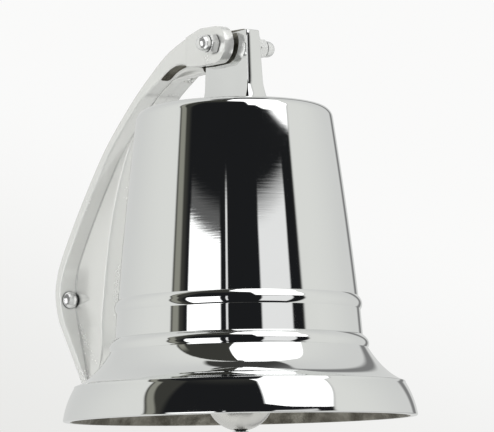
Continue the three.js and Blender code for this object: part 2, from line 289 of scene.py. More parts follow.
def hexagon(name, flats, stations, segments, put):
    """A hexagonal solid, `flats` from axis to side.

    Each station is (place along the axis, radius its corners are turned down to); `put` stands a point
    of (place along the axis, cosine part, sine part) in the part's frame.
    """
    verts, faces = [], []
    for along, limit in stations:
        for j in range(segments):
            a = 2 * math.pi * j / segments
            local = (a + math.pi / 6) % (math.pi / 3) - math.pi / 6
            r = min(flats / math.cos(local), limit)
            verts.append(put(along, r * math.cos(a), r * math.sin(a)))
    last = (len(stations) - 1) * segments
    for row in range(0, last, segments):
        for j in range(segments):
            k = (j + 1) % segments
            faces.append((row + j, row + k, row + segments + k, row + segments + j))
    faces += [tuple(range(segments)), tuple(range(last, last + segments))]
    return mesh_object(name, verts, faces, sharp=20)


def torus(name, radius, wire, centre, hole_axis):
    """A ring of round wire; `radius` is from its centre to the middle of the wire."""
    across, around = 96, 32
    verts, faces = [], []
    for i in range(across):
        a = 2 * math.pi * i / across
        for j in range(around):
            b = 2 * math.pi * j / around
            ring = radius + wire * math.cos(b)
            u, v, s = ring * math.cos(a), ring * math.sin(a), wire * math.sin(b)
            offset = (s, u, v) if hole_axis == "X" else (u, s, v)
            verts.append(tuple(c + o for c, o in zip(centre, offset)))
            k, m = (i + 1) % across, (j + 1) % around
            faces.append((i * around + j, k * around + j, k * around + m, i * around + m))
    return mesh_object(name, verts, faces)


def place(obj, body, material, slot, *nodes):
    """Gives the piece its material, if it has none, and hands it to the CAD frame."""
    if not obj.data.materials:
        obj.data.materials.append(material)
    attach(obj, body)
    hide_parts(*nodes)
    return obj


# ---------------------------------------------------------------- materials

RUB_FADE = (0.055, 0.085)              # heights between which the polishing marks fade, in metres
CREASE_SHADE_COLOUR = (0.09, 0.095, 0.095, 1)         # colour of the painted shade in the creases and close gaps of plated pieces
SMEAR_DARKENING = 0.93                 # colour of a dull smear against clean plate
SCRATCH_DEPTH = 0.0000006


class Nodes:
    """A short way to write a node tree."""

    def __init__(self, tree):
        self.tree = tree

    def add(self, kind, inputs=None, **settings):
        node = self.tree.nodes.new(kind)
        for key, value in settings.items():
            setattr(node, key, value)
        for key, value in (inputs or {}).items():
            socket = node.inputs[key]
            if isinstance(value, bpy.types.NodeSocket):
                self.tree.links.new(value, socket)
            else:
                socket.default_value = value
        return node

    def math(self, operation, a, b=0.0, c=0.0):
        return self.add("ShaderNodeMath", {0: a, 1: b, 2: c}, operation=operation).outputs[0]

    def noise(self, vector, scale, detail=3.0, roughness=0.5, distortion=0.0):
        node = self.add("ShaderNodeTexNoise", {
            "Vector": vector, "Scale": scale, "Detail": detail, "Roughness": roughness, "Distortion": distortion})
        return node.outputs["Fac"]

    def stretched(self, scale):
        coordinates = self.add("ShaderNodeTexCoord").outputs["Object"]
        return self.add("ShaderNodeMapping", {"Vector": coordinates, "Scale": scale}).outputs[0]

    def ramp(self, value, low, high, to_low, to_high):
        node = self.add("ShaderNodeMapRange", {
            "Value": value, "From Min": low, "From Max": high, "To Min": to_low, "To Max": to_high},
            interpolation_type="SMOOTHSTEP")
        return node.outputs[0]

    def mix(self, factor, a, b):
        node = self.add("ShaderNodeMix", data_type="RGBA")
        for key, value in ((0, factor), (6, a), (7, b)):
            if isinstance(value, bpy.types.NodeSocket):
                self.tree.links.new(value, node.inputs[key])
            else:
                node.inputs[key].default_value = value
        return node.outputs[2]

    def bump(self, height, distance, normal=None):
        inputs = {"Height": height, "Distance": distance, "Strength": 1.0}
        if normal:
            inputs["Normal"] = normal
        return self.add("ShaderNodeBump", inputs).outputs[0]


def new_material(name):
    material = bpy.data.materials.new(name)
    material.use_nodes = True
    tree = material.node_tree
    return material, Nodes(tree), tree.nodes["Principled BSDF"], tree


def chrome(name, colour, rough=(0.02, 0.06), wave=(14.0, 0.00003), ripple=(70.0, 0.000004), streak=(1, 1, 1),
           rubbed=0.0, crease=0.0, metal=1.0):
    """Chrome plate: slow waves of the casting under it, fine polishing streaks, a few dull smears.

    `wave` and `ripple` are (noise scale, depth in metres). `rubbed` is the depth of the marks left by
    polishing round the piece, strong below RUB_FADE and faint above it. `crease` is how near another surface
    has to be for painted shade to darken the plate's colour. With `metal` below 1 it is a satin that is partly
    diffuse.
    """
    material, nodes, shader, tree = new_material(name)
    shader.inputs["Metallic"].default_value = metal
    plain = nodes.stretched((1, 1, 1))
    smear = nodes.noise(nodes.stretched((1.0, 1.0, 0.45)), 22.0, 4.0, 0.6, 0.6)
    fine = nodes.noise(nodes.stretched(streak), 900.0, 2.0, 0.5)
    dull = nodes.ramp(smear, 0.48, 0.74, 0.0, 1.0)
    smeared = (*[c * SMEAR_DARKENING for c in colour], 1)
    plate = nodes.mix(nodes.math("MULTIPLY", dull, 0.35), (*colour, 1), smeared)
    # Painted shade: where another surface is near, the plate's colour is darkened almost to black.
    if crease:
        open_sky = nodes.add("ShaderNodeAmbientOcclusion", {"Distance": crease}, samples=8).outputs["AO"]
        plate = nodes.mix(nodes.ramp(open_sky, 0.4, 0.92, 0.0, 1.0), CREASE_SHADE_COLOUR, plate)
    tree.links.new(plate, shader.inputs["Base Color"])
    grain = nodes.math("MULTIPLY", nodes.ramp(fine, 0.35, 0.75, 0.0, 1.0), 0.25)
    level = nodes.math("ADD", nodes.math("MULTIPLY", dull, 0.75), grain)
    tree.links.new(nodes.ramp(level, 0.0, 1.0, rough[0], rough[1]), shader.inputs["Roughness"])
    slow = nodes.bump(nodes.noise(plain, wave[0], 1.0, 0.4), wave[1])
    if rubbed:
        height = nodes.add("ShaderNodeSeparateXYZ", {0: plain}).outputs[2]
        rub = nodes.noise(nodes.stretched((1, 1, 14)), 55.0, 4.0, 0.55)
        faded = nodes.math("MULTIPLY", rub, nodes.ramp(height, *RUB_FADE, 1.0, 0.15))
        slow = nodes.bump(faded, rubbed, normal=slow)
    quick = nodes.bump(nodes.noise(plain, ripple[0], 2.0, 0.5), ripple[1], normal=slow)
    scratch = nodes.bump(fine, SCRATCH_DEPTH, normal=quick)
    tree.links.new(scratch, shader.inputs["Normal"])
    return material


def rough_casting(name):
    """The unpolished inside of the bell: a dull, grainy, brownish grey cast skin."""
    material, nodes, shader, tree = new_material(name)
    plain = nodes.stretched((1, 1, 1))
    blotch = nodes.noise(plain, 38.0, 5.0, 0.62, 0.4)
    grain = nodes.noise(plain, 620.0, 4.0, 0.7)
    pits = nodes.add("ShaderNodeTexVoronoi", {"Vector": plain, "Scale": 260.0}).outputs["Distance"]
    base = nodes.mix(nodes.ramp(blotch, 0.35, 0.68, 0.0, 1.0), (0.11, 0.102, 0.08, 1), (0.4, 0.385, 0.335, 1))
    speck = nodes.mix(nodes.ramp(grain, 0.55, 0.8, 0.0, 0.6), base, (0.46, 0.45, 0.42, 1))
    tree.links.new(speck, shader.inputs["Base Color"])
    tree.links.new(nodes.ramp(grain, 0.3, 0.7, 0.38, 0.62), shader.inputs["Roughness"])
    shader.inputs["Metallic"].default_value = 0.7
    first = nodes.bump(grain, 0.0004)
    second = nodes.bump(nodes.ramp(pits, 0.0, 0.35, 0.0, 1.0), 0.0002, normal=first)
    third = nodes.bump(blotch, 0.0012, normal=second)
    tree.links.new(third, shader.inputs["Normal"])
    return material


def zinc(name):
    """Bright zinc plated steel: faint crystalline clouding and turning marks."""
    material, nodes, shader, tree = new_material(name)
    plain = nodes.stretched((1, 1, 1))
    cloud = nodes.noise(plain, 160.0, 4.0, 0.6)
    marks = nodes.noise(nodes.stretched((1, 0.08, 0.08)), 2600.0, 2.0, 0.5)
    tree.links.new(nodes.mix(nodes.ramp(cloud, 0.3, 0.7, 0, 1), (0.55, 0.555, 0.56, 1), (0.68, 0.685, 0.69, 1)),
                   shader.inputs["Base Color"])
    tree.links.new(nodes.ramp(marks, 0.3, 0.7, 0.2, 0.36), shader.inputs["Roughness"])
    shader.inputs["Metallic"].default_value = 1.0
    tree.links.new(nodes.bump(marks, 0.00001), shader.inputs["Normal"])
    return material


bell_chrome = chrome("bell_chrome", (0.86, 0.87, 0.865), streak=(1, 1, 14), rubbed=0.000004)
cast_chrome = chrome("cast_chrome", (0.95, 0.955, 0.935), rough=(0.22, 0.34), wave=(26.0, 0.0001),
                     ripple=(90.0, 0.000008), crease=0.0018, metal=0.5)
small_chrome = chrome("small_chrome", (0.92, 0.925, 0.92), rough=(0.16, 0.26), wave=(60.0, 0.00002),
                      crease=0.0015, metal=0.7)
satin_chrome = chrome("satin_chrome", (0.8, 0.795, 0.77), rough=(0.26, 0.42), wave=(60.0, 0.0001))
casting_skin = rough_casting("casting_skin")
zinc_steel = zinc("zinc_steel")

# ---------------------------------------------------------------- bell, heights above the mouth

LIP = (50.8, -6.69, 49.8)              # centre and radius of the lip's outer curve
FLARE = ((72.95, 38.9), (81.7, 24.6), (92.1, 20.1))
BEADS = {"lower": (72.9, 38.9, 70.2, 46.2, 1.8), "upper": (69.2, 60.5, 68.2, 68.2, 1.5)}
WAIST_MIDDLE = (63.4, 118)
SHOULDER = (56.3, 170.6)
SHOULDER_RADIUS = 7
SHOULDER_LEAN = 7.7                    # lean of the waist where the shoulder starts, in degrees
CROWN, CROWN_UNDER = 178.1, 173.2
BORE = 3.3                             # radius of the holes the stud and the eyebolt go through

LUG_TOP = 219.1                        # where the rounding of the lug's top starts
LUG_ROUNDING = 0.9
LUG_WAIST = 190                        # above it the lug's sides are straight
LUG_TOP_HALF = (4.5, 20.5)             # half-width and half-depth at the top
LUG_WAIST_HALF = (5.4, 22)


def bead(foot_radius, foot, head_radius, head, bulge):
    """A raised bead that stands out by `bulge` from the line between its foot and its head."""
    points = []
    for i in range(19):
        t = i / 18
        swell = bulge * math.sin(math.pi * t) ** 0.85
        points.append((lerp(foot_radius, head_radius, t) + swell, lerp(foot, head, t)))
    return points


def bell_outside():
    flare = quadratic(*FLARE, 34)
    waist = quadratic(BEADS["upper"][2:4], WAIST_MIDDLE, SHOULDER, 44)
    lean = math.radians(SHOULDER_LEAN)
    shoulder = arc(SHOULDER[0] - SHOULDER_RADIUS * math.cos(lean), SHOULDER[1] - SHOULDER_RADIUS * math.sin(lean),
                   SHOULDER_RADIUS, SHOULDER_LEAN, 86, 18)
    return [
        *arc(99.1, 0.96, 0.9, -90, 5, 8),
        *arc(*LIP, 9, 30.5, 26),
        *arc(92.7, 18.95, 1.0, 36, 64, 6),
        *reversed(flare[:-1]),
        *bead(*BEADS["lower"])[1:],
        *bead(*BEADS["upper"]),
        *waist[1:],
        *shoulder[1:],
        (30, CROWN - 0.6),
        (0, CROWN),
    ]


def bell_inside():
    hollow = spline([(95.4, 0.9), (82.5, 17), (72, 31), (65.5, 44), (62.8, 64), (57.6, 124), (53, 160)], 9)
    return [*arc(95.9, 1.5, 1.5, -90, -160, 4), *hollow[2:], *arc(46.5, CROWN_UNDER - 6.4, 6, 0, 90, 9),
            (0, CROWN_UNDER)]


def bell_body():
    outside, inside = bell_outside(), bell_inside()
    profile = [*reversed(inside), *outside]
    marks = [1] * (len(inside) - 1) + [0] * len(outside)    # 1 is the casting's skin, 0 the chrome
    obj = turned("bell_body", profile, 256, (0, -REACH, MOUTH), sharp=24, slots=marks)
    obj.data.materials.append(bell_chrome)
    obj.data.materials.append(casting_skin)
    return obj


def rounded_box_loop(half_x, half_y, corner, z):
    loop = []
    for sx, sy, start in ((1, 1, 0), (-1, 1, 90), (-1, -1, 180), (1, -1, 270)):
        loop += [(x, y, z) for x, y in arc(sx * (half_x - corner), sy * (half_y - corner), corner,
                                           start, start + 90, 6)]
    return loop


def crown_lug():
    """The lug rises from a flared foot; its sides lean in slightly towards the top."""
    widths, depths = [
        quadratic((foot, CROWN - 1.2), bend, (waist, LUG_WAIST), 16) + line((waist, LUG_WAIST), (top, LUG_TOP), 10)[1:]
        for foot, bend, waist, top in zip((9.6, 26.2), ((5.9, 183), (22.3, 180)), LUG_WAIST_HALF, LUG_TOP_HALF)]
    loops = []
    for (half_x, z), (half_y, _) in zip(widths, depths):
        corner = lerp(3.4, 0.7, smooth(z, CROWN, 187))
        loops.append(rounded_box_loop(half_x, half_y, corner, z))
    for a in (25, 50, 75, 90):
        inset = LUG_ROUNDING * (1 - math.cos(math.radians(a)))
        loops.append(rounded_box_loop(LUG_TOP_HALF[0] - inset, LUG_TOP_HALF[1] - inset,
                                      max(0.75 - inset * 0.7, 0.05),
                                      LUG_TOP + LUG_ROUNDING * math.sin(math.radians(a))))
    moved = [[(x, y - REACH, z + MOUTH) for x, y, z in loop] for loop in loops]
    lug = rings("crown_lug", moved, sharp=35)
    hole = turned("lug_hole", [(0, -12), (BORE, -12), (BORE, 12), (0, 12)], 48, (0, -REACH, PIVOT), "X")
    return cut(lug, hole, sharp=35)


place(bell_body(), "bell", bell_chrome, "chrome", "bell_shell")
place(crown_lug(), "bell", bell_chrome, "chrome", "bell_shell")

# ---------------------------------------------------------------- wall bracket

THICK = 6.5
BACK = [(0, TIP), (0, -40), (0, -20), (0, -6), (0.1, 6), (1.9, 17.5), (7, 28.3), (19.5, 48), (36.5, 71.5),
        (54, 92), (82, 116), (109.5, 133.5), (130, 140.9), (152, 145.5)]
CREST = [(THICK, TIP + 1), (12, -50.5), (22, -41), (30, -25), (33.6, -4), (40.3, 32), (50, 63), (65, 91.5),
         (88, 113.3), (100, 120.6), (111, 122.2), (130, 122.2), (150, 122.2)]
UNDERSIDE = [(76, 106), (84.5, 111.6), (95, 116.6), (106, 121.5), (118, 126.6), (129, 128), (141, 125.2),
             (153, 124)]
LOFT_END = 140.0                       # where the arm's loft ends, inside the fork's block
FORK_START = 136.0
FORK_HALF = 12.5
EAR_RADIUS = 10.5
EAR_BEVEL = 0.9
SLOT_HALF = 6.5
SLOT_RADIUS = 28
POCKET = [(107, 112), (127, 112), (127, 130.2), (119, 129.2), (107, 124.8)]
POCKET_SIDES = (4.6, 11.3)             # from the web to the arm's edge
POCKET_ROUNDING = 1.8
SEAT_RADIUS = 5.9                      # spot face under a screw's head

TIP_HALF = 1.5                         # half-widths of the flange, from the tip up to the arm
PLATE_LOW_HALF = 19.3
PLATE_MIDDLE_HALF = 23.4
PLATE_HIGH_HALF = 21.2
ARM_HALF = 12.45
PLATE_BEND = 14                        # the plate is widest between this far below and above the screws
ARM_NARROWING = 114                    # height over which the flange narrows to the arm

WEB_ROOT_HALF = 10.9
WEB_CREST_HALF = 3.0
WEB_REACH = 93                         # distance from the wall where the web reaches its least thickness
WEB_TIP_HALF = 1                       # at the plate's tip
WEB_TIP_LENGTH = 1.5                   # height over which it keeps that
WEB_WIDENING = 57.5                    # height over which it then gains the root's half-width


def flange_half(z):
    """Half-width of plate, flange and arm at a height."""
    if z < -PLATE_BEND:
        return lerp(TIP_HALF, PLATE_LOW_HALF, (z - TIP) / (-PLATE_BEND - TIP))
    if z < PLATE_BEND:
        t = (z + PLATE_BEND) / (2 * PLATE_BEND)
        return (1 - t) ** 2 * PLATE_LOW_HALF + 2 * t * (1 - t) * PLATE_MIDDLE_HALF + t * t * PLATE_HIGH_HALF
    return max(ARM_HALF, lerp(PLATE_HIGH_HALF, ARM_HALF, (z - PLATE_BEND) / ARM_NARROWING))


def web_half(w, z):
    """Half-width of the web: it thins away from the wall and towards the plate's tip."""
    taper = max(WEB_CREST_HALF, WEB_ROOT_HALF - (WEB_ROOT_HALF - WEB_CREST_HALF) * w / WEB_REACH)
    foot = WEB_TIP_HALF + WEB_ROOT_HALF * max(0.0, z - TIP - WEB_TIP_LENGTH) / WEB_WIDENING
    return min(taper, foot)


def reach_along(start, direction, curve):
    """Distance from start along direction to the first crossing of a curve, or None."""
    best = None
    for (ax, ay), (bx, by) in zip(curve, curve[1:]):
        ex, ey = bx - ax, by - ay
        det = direction[0] * -ey + ex * direction[1]
        if abs(det) < 1e-9:
            continue
        t = ((ax - start[0]) * -ey + ex * (ay - start[1])) / det
        s = (direction[0] * (ay - start[1]) - direction[1] * (ax - start[0])) / det
        if -1e-6 <= s <= 1 + 1e-6 and t > 0.05 and (best is None or t < best):
            best = t
    return best


def cast_section(half, thick, root, crest, height, fillet):
    """Half of the section (X, distance from the back face) from the back's middle to the crest's middle.

    `thick` is the flange's thickness and `height` the distance to the crest of the web. `root` and `crest`
    are the web's half-widths there, and `fillet` is the radius where the web leaves the flange.
    """
    rise = max(height - thick, 0.5)
    height = thick + rise
    root = min(root, half - 1.0)
    crest = min(crest, root)
    back = min(1.7, half * 0.35)
    front = min(1.2, half * 0.3)
    hollow = max(0.2, min(fillet, 0.55 * rise, half - front - root - 0.1))
    ridge = max(0.12, min(1.1, 0.4 * rise, 0.6 * crest))
    side = root + (crest - root) * hollow / rise
    dish = 0.022 * (half - front - side - hollow)
    return [
        *line((0, 0), (half - back, 0), 5, False),
        *arc(half - back, back, back, -90, 0, 7),
        *line((half, back), (half, thick - front), 5, False)[1:],
        *arc(half - front, thick - front, front, 0, 90, 6),
        *line((half - front, thick), (side + hollow, thick - dish), 6, False)[1:],
        *arc(side + hollow, thick + hollow - dish, hollow, 270, 180, 10),
        *line((side, thick + hollow - dish), (crest, height - ridge), 8, False)[1:],
        *arc(crest - ridge, height - ridge, ridge, 0, 90, 6),
        *line((crest - ridge, height), (0, height), 4)[1:],
    ]


def bracket_loft():
    """Plate, flange, web and arm in one skin, by sections square to the back edge."""
    back = even([(max(w, 0.0), z) for w, z in spline(BACK, 24)], 230)
    crest, underside = spline(CREST, 24), spline(UNDERSIDE, 24)
    angles = []
    for i in range(len(back)):
        a, b = back[max(i - 1, 0)], back[min(i + 1, len(back) - 1)]
        angles.append(math.atan2(b[1] - a[1], b[0] - a[0]))
    window = 7
    stations = []
    for i in [i for i, p in enumerate(back) if p[0] < LOFT_END]:
        near = angles[max(0, i - window):i + window + 1]
        turn = sum(near) / len(near)
        direction = (math.sin(turn), -math.cos(turn))
        start = back[i]
        height = reach_along(start, direction, crest) or THICK
        under = max(THICK, reach_along(start, direction, underside) or THICK)
        stations.append([start, direction, lerp(THICK, under, smooth(start[0], 58, 84)), max(height, THICK)])
    for _ in range(3):
        for k in (2, 3):
            values = [s[k] for s in stations]
            for i in range(1, len(stations) - 1):
                stations[i][k] = (values[i - 1] + 2 * values[i] + values[i + 1]) / 4
    loops = []
    for (w, z), direction, thick, height in stations:
        root_at = (w + direction[0] * thick, z + direction[1] * thick)
        crest_at = (w + direction[0] * height, z + direction[1] * height)
        fillet = lerp(0.35, 5.5, smooth(w, 40, 95))
        half = cast_section(flange_half(z), thick, web_half(*root_at), web_half(*crest_at), height, fillet)
        ring = half + [(-x, t) for x, t in reversed(half[1:-1])]
        loops.append([(x, -(w + direction[0] * t), z + direction[1] * t) for x, t in ring])
    return rings("bracket_loft", loops, sharp=50)


def slot_tool():
    """The fork's slot, rounded about the stud; its walls stay as cast."""
    profile = [(0, -SLOT_HALF), (SLOT_RADIUS, -SLOT_HALF), (SLOT_RADIUS, SLOT_HALF), (0, SLOT_HALF)]
    tool = turned("slot", profile, 160, (0, -REACH, PIVOT), "X")
    tool.data.materials.append(casting_skin)
    return tool


def fork_block():
    """The end of the arm: two ears about the stud with a rounded slot between them."""
    top = [p for p in spline(BACK, 24) if p[0] > FORK_START]
    under = [p for p in spline(UNDERSIDE, 24) if p[0] > FORK_START]
    outline = [*top, *arc(REACH, PIVOT, EAR_RADIUS, 82, -90, 40), *reversed(under)]
    block = prism_x("fork_block", outline, -FORK_HALF, FORK_HALF)
    block.data.materials.append(cast_chrome)
    cut(block, slot_tool())
    return bevel(block, EAR_BEVEL, 45, 3, sharp=50)


def wall_bracket():
    """The casting: its left pocket takes the dark casting_skin and its right pocket the plate; the fork's slot keeps
    the dull skin of the mould.
    """
    loft = bracket_loft()
    low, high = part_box("wall_screw_left")
    offset = abs(low.x + high.x) / 2 / MM
    seat_profile = [(0, THICK), (SEAT_RADIUS, THICK), (SEAT_RADIUS, 30), (0, 30)]
    seats = [turned("seat", seat_profile, 72, (side * offset, 0, 0), "Y", -1) for side in (-1, 1)]
    pockets = [bevel(prism_x("pocket", POCKET, *sorted(side * x for x in POCKET_SIDES)), POCKET_ROUNDING, 40, 2)
               for side in (-1, 1)]
    loft.data.materials.append(cast_chrome)
    for seat in seats:
        seat.data.materials.append(cast_chrome)
    # The left pocket is made dark, the right one plated like the rest.
    pockets[0].data.materials.append(casting_skin)
    pockets[1].data.materials.append(cast_chrome)
    cut(loft, *seats, *pockets, slot_tool(), sharp=50)
    casting = join("bracket_casting", loft, fork_block())
    shade(casting, 50)
    return casting


place(wall_bracket(), "bracket", cast_chrome, "chrome", "wall_bracket")

# ---------------------------------------------------------------- wall screws

GAP = 0.3                              # clearance between pieces that would touch
DOME_RADIUS, DOME_RISE = 4.7, 2.7
HEAD_HEIGHT = 3.75


def wall_screw(side):
    """A plain domed screw with a thin rim under the dome."""
    low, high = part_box("wall_screw_" + side)
    centre = ((low.x + high.x) / 2 / MM, -THICK - GAP, (low.z + high.z) / 2 / MM)
    tip = -(high.y / MM + THICK + GAP)
    radius = (DOME_RADIUS ** 2 + DOME_RISE ** 2) / (2 * DOME_RISE)
    start = math.degrees(math.acos(DOME_RADIUS / radius))
    dome = arc(0, HEAD_HEIGHT - radius, radius, start, 89.5, 24)
    profile = [(0, tip), (0.6, tip + 0.4), (2.2, tip + 3.5), (2.5, tip + 5), (2.5, 0), (4.9, 0), (5.15, 0.2),
               (5.2, 0.5), (5.05, 0.85), (4.8, 0.95), *dome, (0, dome[-1][1])]
    return turned("screw_" + side, profile, 96, centre, "Y", -1, sharp=40)


for side in ("left", "right"):
    place(wall_screw(side), "bracket", small_chrome, "chrome", "wall_screw_" + side)

# ---------------------------------------------------------------- pivot hardware, M6

HEX_FLATS = 5.0                        # from axis to flat
HEX_HEIGHT = 5.0
NUT_HEIGHT = 12.0
NUT_DOME = 4.75
WASHER_RADIUS = 6.0
STUD_RADIUS = 3


def domed_nut(name, seat, side):
    """A hexagon with a chamfered outer rim, a short neck and a dome."""
    stations = [(0.0, 5.45), (0.35, 5.78), (1.2, 9.0), (2.6, 9.0), (3.9, 9.0), (4.35, 5.78), (4.7, 5.45),
                (HEX_HEIGHT, 5.0)]
    hex_part = hexagon(name + "_hex", HEX_FLATS, stations, 144,
                       lambda x, up, out: (side * (seat + x), -REACH + out, PIVOT + up))
    cap = [(0, HEX_HEIGHT - 1), (NUT_DOME - 0.3, HEX_HEIGHT - 1), (NUT_DOME - 0.3, HEX_HEIGHT + 0.3),
           (NUT_DOME, HEX_HEIGHT + 0.7), *arc(0, NUT_HEIGHT - NUT_DOME, NUT_DOME, 0, 89, 24), (0, NUT_HEIGHT)]
    cap_part = turned(name + "_cap", cap, 96, (side * seat, -REACH, PIVOT), "X", side, sharp=35)
    return join(name, hex_part, cap_part)


def washer(name, inner, outer, start, thickness):
    """A flat ring with its rims rounded by r."""
    r = min(0.25, thickness * 0.3)
    profile = [(inner, r), (inner + r, 0), (outer - r, 0), (outer - r * 0.3, r * 0.3), (outer, r),
               (outer, thickness - r), (outer - r * 0.3, thickness - r * 0.3), (outer - r, thickness),
               (inner + r, thickness), (inner, thickness - r)]
    return turned(name, profile, 96, (start, -REACH, PIVOT), "X", 1, sharp=35)


def spring_washer(start, thickness):
    """A split ring of square wire, its two ends a little apart."""
    loops = []
    for i in range(121):
        a = math.radians(lerp(96, 444, i / 120))
        lift = lerp(-0.12, 0.12, i / 120)
        loop = []
        for r, x in ((3.4, 0.1), (5.6, 0.1), (5.7, 0.25), (5.7, thickness - 0.25), (5.6, thickness - 0.1),
                     (3.4, thickness - 0.1)):
            loop.append((start + x + lift, -REACH + r * math.cos(a), PIVOT + r * math.sin(a)))
        loops.append(loop)
    return rings("spring_washer", loops, sharp=30)


def along_x(node):
    low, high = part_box(node)
    return low.x / MM, high.x / MM


nut_left, nut_right = along_x("dome_nut_left")[1], along_x("dome_nut_right")[0]
place(domed_nut("nut_left", -nut_left, -1), "bracket", small_chrome, "chrome", "dome_nut_left")
place(domed_nut("nut_right", nut_right, 1), "bracket", small_chrome, "chrome", "dome_nut_right")

low_x, high_x = along_x("washer_right")
place(washer("flat_washer", BORE, WASHER_RADIUS, low_x, high_x - low_x), "bracket", small_chrome, "chrome",
      "washer_right")
low_x, high_x = along_x("spring_washer_right")
place(spring_washer(low_x, high_x - low_x), "bracket", zinc_steel, "zinc", "spring_washer_right")
for side in ("left", "right"):
    low_x, high_x = along_x("spacer_" + side)
    place(washer("spacer_ring_" + side, BORE, WASHER_RADIUS, low_x, high_x - low_x), "bracket", zinc_steel, "zinc",
          "spacer_" + side)

low_x, high_x = along_x("pivot_stud")
length = high_x - low_x
stud_profile = [(0, 0), (STUD_RADIUS - 0.5, 0), (STUD_RADIUS, 0.5), (STUD_RADIUS, length - 0.5),
                (STUD_RADIUS - 0.5, length), (0, length)]
place(turned("stud", stud_profile, 64, (low_x, -REACH, PIVOT), "X"), "bracket", zinc_steel, "zinc", "pivot_stud")

# ---------------------------------------------------------------- clapper, heights above the mouth

EYE = {"radius": 6.5, "wire": 2.0, "centre": 155.0}
RING = {"radius": 7.5, "wire": 1.75}
ROD_EYE = {"radius": 5.5, "wire": 2.0}
ring_centre = EYE["centre"] - EYE["radius"] + EYE["wire"] + GAP + RING["wire"] - RING["radius"]
rod_eye_centre = ring_centre - RING["radius"] + RING["wire"] + GAP + ROD_EYE["wire"] - ROD_EYE["radius"]
BALL = {"radius": 19.4, "centre": 12.9}
ball_foot = BALL["centre"] - BALL["radius"]
ball_top = BALL["centre"] + BALL["radius"]


def on_axis(z):
    """The point of the bell's axis at a height above the mouth."""
    return (0, -REACH, MOUTH + z)


def shank(name, profile, segments=72):
    return turned(name, profile, segments, on_axis(0), sharp=35)


eye_ring = torus("eye_ring", EYE["radius"], EYE["wire"], on_axis(EYE["centre"]), "X")
eye_shank = shank("eye_shank", [(0, 160.8), (2.4, 160.8), (3, 162.5), (3, 188.4), (2.4, 189), (0, 189)])
eyebolt = place(join("eyebolt", eye_ring, eye_shank), "bell", zinc_steel, "zinc", "clapper_eyebolt")
shade(eyebolt, 35)

nut_top = CROWN_UNDER - GAP
locknut_stations = [(nut_top - 4, 5.35), (nut_top - 3.6, 5.8), (nut_top - 0.4, 5.8), (nut_top, 5.35)]
locknut = hexagon("locknut", HEX_FLATS, locknut_stations, 96, lambda z, x, y: (x, -REACH + y, MOUTH + z))
locknut_bore = shank("locknut_bore", [(0, nut_top - 6), (3.2, nut_top - 6), (3.2, nut_top + 2), (0, nut_top + 2)])
place(cut(locknut, locknut_bore, sharp=20), "bell", zinc_steel, "zinc", "clapper_locknut")

place(torus("hang_ring", RING["radius"], RING["wire"], on_axis(ring_centre), "Y"), "ring", zinc_steel, "zinc",
      "clapper_ring")

rod_top = rod_eye_centre - ROD_EYE["radius"]
rod_profile = [(0, ball_foot - 5.8), (2.6, ball_foot - 5.8), (3, ball_foot - 5.2), (3, ball_top - 1),
               (4.6, ball_top - 0.3), (4.5, ball_top + 0.6),
               *quadratic((4.2, ball_top + 1.6), (3.5, 80), (3.2, rod_top - 6), 18),
               (3.3, rod_top - 2), (2.6, rod_top + 0.2), (0, rod_top + 0.8)]
rod = join("clapper_stem", torus("rod_eye", ROD_EYE["radius"], ROD_EYE["wire"], on_axis(rod_eye_centre), "X"),
           shank("stem", rod_profile))
place(rod, "clapper", small_chrome, "chrome", "clapper_rod")
shade(rod, 35)

ball_profile = arc(0, BALL["centre"], BALL["radius"], -90, 90, 73)
ball_profile[0], ball_profile[-1] = (0, ball_foot), (0, ball_top)
place(shank("striker_ball", ball_profile, segments=128), "clapper", satin_chrome, "chrome", "clapper_ball")

tail_top = ball_foot - GAP
tail_profile = [(0, -20), (2.9, -20), (3.8, -19.6), (4.35, -18.7), (4.5, -17.6), (4.5, tail_top - 0.4),
                (4.2, tail_top), (0, tail_top)]
tail = shank("tail_stub", tail_profile)
tail_hole = turned("tail_hole", [(0, -8), (2.3, -8), (2.3, 8), (0, 8)], 48, on_axis(-15.8), "X")
place(cut(tail, tail_hole, sharp=35), "clapper", small_chrome, "chrome", "clapper_tail")

# ---------------------------------------------------------------- floor

FLOOR_BELOW = 260                      # from the part's lowest point to the floor
FLOOR_HALF = 6000

floor_material, floor_nodes, floor_shader, floor_tree = new_material("pale_floor")
mottle = floor_nodes.noise(floor_nodes.stretched((1, 1, 1)), 3.0, 4.0, 0.6)
floor_tree.links.new(
    floor_nodes.mix(floor_nodes.ramp(mottle, 0.3, 0.7, 0, 1), (0.80, 0.80, 0.79, 1), (0.84, 0.84, 0.83, 1)),
    floor_shader.inputs["Base Color"])
floor_shader.inputs["Roughness"].default_value = 0.75
floor_level = cad_box[0][2] / MM - FLOOR_BELOW
corners = [(x * FLOOR_HALF, y * FLOOR_HALF, floor_level) for x, y in ((-1, -1), (1, -1), (1, 1), (-1, 1))]
floor = mesh_object("floor", corners, [(0, 1, 2, 3)])
floor.data.materials.append(floor_material)
floor.visible_glossy = False

# ---------------------------------------------------------------- camera

YAW, PITCH, ROLL = math.radians(34.5), math.radians(6.353), math.radians(-1.171)
DISTANCE = 1500.0                      # along the ground, from the bell's axis
BELOW_MOUTH = 51.5

